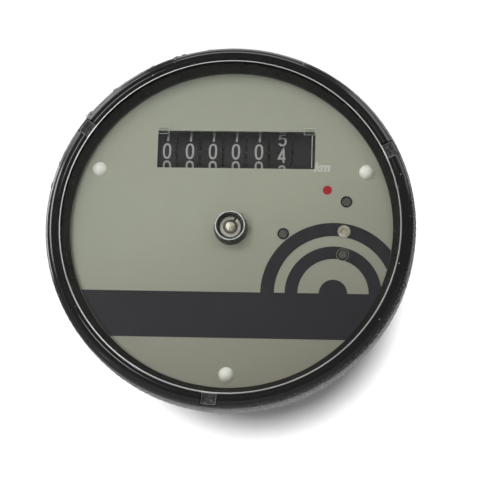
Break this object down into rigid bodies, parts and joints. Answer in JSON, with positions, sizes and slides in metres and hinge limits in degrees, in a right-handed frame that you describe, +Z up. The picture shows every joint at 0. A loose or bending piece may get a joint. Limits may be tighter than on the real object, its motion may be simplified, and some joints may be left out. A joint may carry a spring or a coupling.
{
  "type": "hubodometer",
  "caption": "Round sealed hub counter with a clear lens, grey dial, number-wheel window and a weighted gear movement that hangs from the centre shaft, on a threaded rear stud.",
  "frame": {"origin": "centre of the rear mounting face, where the stud leaves the case", "axes": "+Y along the stud, away from the dial; the dial faces -Y; +Z up across the dial; +X to the dial's right as it is read"},
  "size_m": [0.084, 0.0453, 0.084],
  "materials": {
    "housing_metal": "die-cast, satin",
    "stud_steel": "zinc plated, turned",
    "rubber": "matt black",
    "bezel_black": "glossy black, scuffed side",
    "clear_plastic": "clear, polished",
    "shaft_steel": "turned, bright",
    "brass": "plain",
    "plate_steel": "plain",
    "bush_black": "moulded, satin",
    "dial_paint": "grey-green, satin",
    "dark_print": "dark grey, printed",
    "red_print": "red, printed",
    "white_plastic": "moulded, satin",
    "weight_iron": "plain",
    "pin_grey": "dark grey",
    "pale_brass": "pale, nickel plated",
    "wheel_black": "black with pale grey figures",
    "gear_white": "natural acetal"
  },
  "bodies": {
    "case": {"rear_housing": "housing_metal", "mounting_stud": "stud_steel", "case_gasket": "rubber", "front_bezel": "bezel_black", "lens": "clear_plastic", "seal_ring": "rubber", "centre_shaft": "shaft_steel", "drive_pinion": "brass", "retaining_ring": "shaft_steel"},
    "pendulum": {"rear_plate": "plate_steel", "rear_bearing": "brass", "front_plate": "plate_steel", "front_bush": "bush_black", "dial_plate": "dial_paint", "dial_print": "dark_print", "red_mark": "red_print", "dial_rivets": "white_plastic", "pendulum_weight": "weight_iron", "weight_screws": "stud_steel", "plate_pillars": "shaft_steel", "gear_axle": "pin_grey", "pin_collars": "bush_black", "bridge_pins": "pin_grey", "pivot_bridge": "plate_steel", "pivot_bush": "pale_brass", "counter_frame": "plate_steel", "pinion_shaft": "shaft_steel", "window_insert": "clear_plastic"},
    "first_gear": {"first_gear": "gear_white"},
    "second_gear": {"second_gear": "gear_white", "second_arbor": "shaft_steel"},
    "worm_arbor": {"third_gear": "brass", "worm": "shaft_steel"},
    "units_wheel": {"number_wheel_6": "wheel_black", "blank_drum": "wheel_black", "counter_shaft": "shaft_steel", "worm_wheel": "brass"},
    "tens_wheel": {"number_wheel_5": "wheel_black"},
    "hundreds_wheel": {"number_wheel_4": "wheel_black"},
    "thousands_wheel": {"number_wheel_3": "wheel_black"},
    "ten_thousands_wheel": {"number_wheel_2": "wheel_black"},
    "hundred_thousands_wheel": {"number_wheel_1": "wheel_black"},
    "transfer_pinion_5": {"transfer_pinion_5": "gear_white"},
    "transfer_pinion_4": {"transfer_pinion_4": "gear_white"},
    "transfer_pinion_3": {"transfer_pinion_3": "gear_white"},
    "transfer_pinion_2": {"transfer_pinion_2": "gear_white"},
    "transfer_pinion_1": {"transfer_pinion_1": "gear_white"}
  },
  "joints": [
    {"name": "pendulum_swing", "type": "hinge", "parent": "case", "child": "pendulum", "pos_m": [0, 0, 0], "axis": [0, -1, 0], "continuous": true},
    {"name": "first_gear_turn", "type": "hinge", "parent": "pendulum", "child": "first_gear", "pos_m": [0.01197, -0.014, -0.00105], "axis": [0, -1, 0], "continuous": true},
    {"name": "second_gear_turn", "type": "hinge", "parent": "pendulum", "child": "second_gear", "pos_m": [0.02578, -0.014, -0.00035], "axis": [0, -1, 0], "continuous": true},
    {"name": "worm_turn", "type": "hinge", "parent": "pendulum", "child": "worm_arbor", "pos_m": [0.0216, -0.0125, 0.01219], "axis": [0, -1, 0], "continuous": true},
    {"name": "units_wheel_turn", "type": "hinge", "parent": "pendulum", "child": "units_wheel", "pos_m": [0.01115, -0.0125, 0.01868], "axis": [1, 0, 0], "continuous": true},
    {"name": "tens_wheel_turn", "type": "hinge", "parent": "pendulum", "child": "tens_wheel", "pos_m": [0.00582, -0.01251, 0.01868], "axis": [1, 0, 0], "continuous": true},
    {"name": "transfer_pinion_5_turn", "type": "hinge", "parent": "pendulum", "child": "transfer_pinion_5", "pos_m": [0.00842, -0.0083, 0.0114], "axis": [1, 0, 0], "continuous": true},
    {"name": "hundreds_wheel_turn", "type": "hinge", "parent": "pendulum", "child": "hundreds_wheel", "pos_m": [0.00049, -0.01251, 0.01868], "axis": [1, 0, 0], "continuous": true},
    {"name": "transfer_pinion_4_turn", "type": "hinge", "parent": "pendulum", "child": "transfer_pinion_4", "pos_m": [0.00309, -0.0083, 0.0114], "axis": [1, 0, 0], "continuous": true},
    {"name": "thousands_wheel_turn", "type": "hinge", "parent": "pendulum", "child": "thousands_wheel", "pos_m": [-0.00484, -0.01251, 0.01868], "axis": [1, 0, 0], "continuous": true},
    {"name": "transfer_pinion_3_turn", "type": "hinge", "parent": "pendulum", "child": "transfer_pinion_3", "pos_m": [-0.00224, -0.0083, 0.0114], "axis": [1, 0, 0], "continuous": true},
    {"name": "ten_thousands_wheel_turn", "type": "hinge", "parent": "pendulum", "child": "ten_thousands_wheel", "pos_m": [-0.01017, -0.01251, 0.01868], "axis": [1, 0, 0], "continuous": true},
    {"name": "transfer_pinion_2_turn", "type": "hinge", "parent": "pendulum", "child": "transfer_pinion_2", "pos_m": [-0.00757, -0.0083, 0.0114], "axis": [1, 0, 0], "continuous": true},
    {"name": "hundred_thousands_wheel_turn", "type": "hinge", "parent": "pendulum", "child": "hundred_thousands_wheel", "pos_m": [-0.0155, -0.01251, 0.01868], "axis": [1, 0, 0], "continuous": true},
    {"name": "transfer_pinion_1_turn", "type": "hinge", "parent": "pendulum", "child": "transfer_pinion_1", "pos_m": [-0.0129, -0.0083, 0.0114], "axis": [1, 0, 0], "continuous": true}
  ],
  "couplings": [
    {"joint": "first_gear_turn", "follows": "pendulum_swing", "ratio": 0.25},
    {"joint": "second_gear_turn", "follows": "pendulum_swing", "ratio": -0.058036},
    {"joint": "worm_turn", "follows": "pendulum_swing", "ratio": 0.0080049},
    {"joint": "units_wheel_turn", "follows": "pendulum_swing", "ratio": 0.00033354},
    {"joint": "tens_wheel_turn", "follows": "pendulum_swing", "ratio": 0.000033354},
    {"joint": "transfer_pinion_5_turn", "follows": "pendulum_swing", "ratio": -0.000083385},
    {"joint": "hundreds_wheel_turn", "follows": "pendulum_swing", "ratio": 0.0000033354},
    {"joint": "transfer_pinion_4_turn", "follows": "pendulum_swing", "ratio": -0.0000083385},
    {"joint": "thousands_wheel_turn", "follows": "pendulum_swing", "ratio": 0.00000033354},
    {"joint": "transfer_pinion_3_turn", "follows": "pendulum_swing", "ratio": -0.00000083385},
    {"joint": "ten_thousands_wheel_turn", "follows": "pendulum_swing", "ratio": 0.000000033354},
    {"joint": "transfer_pinion_2_turn", "follows": "pendulum_swing", "ratio": -0.000000083385},
    {"joint": "hundred_thousands_wheel_turn", "follows": "pendulum_swing", "ratio": 0.0000000033354},
    {"joint": "transfer_pinion_1_turn", "follows": "pendulum_swing", "ratio": -0.0000000083385}
  ]
}
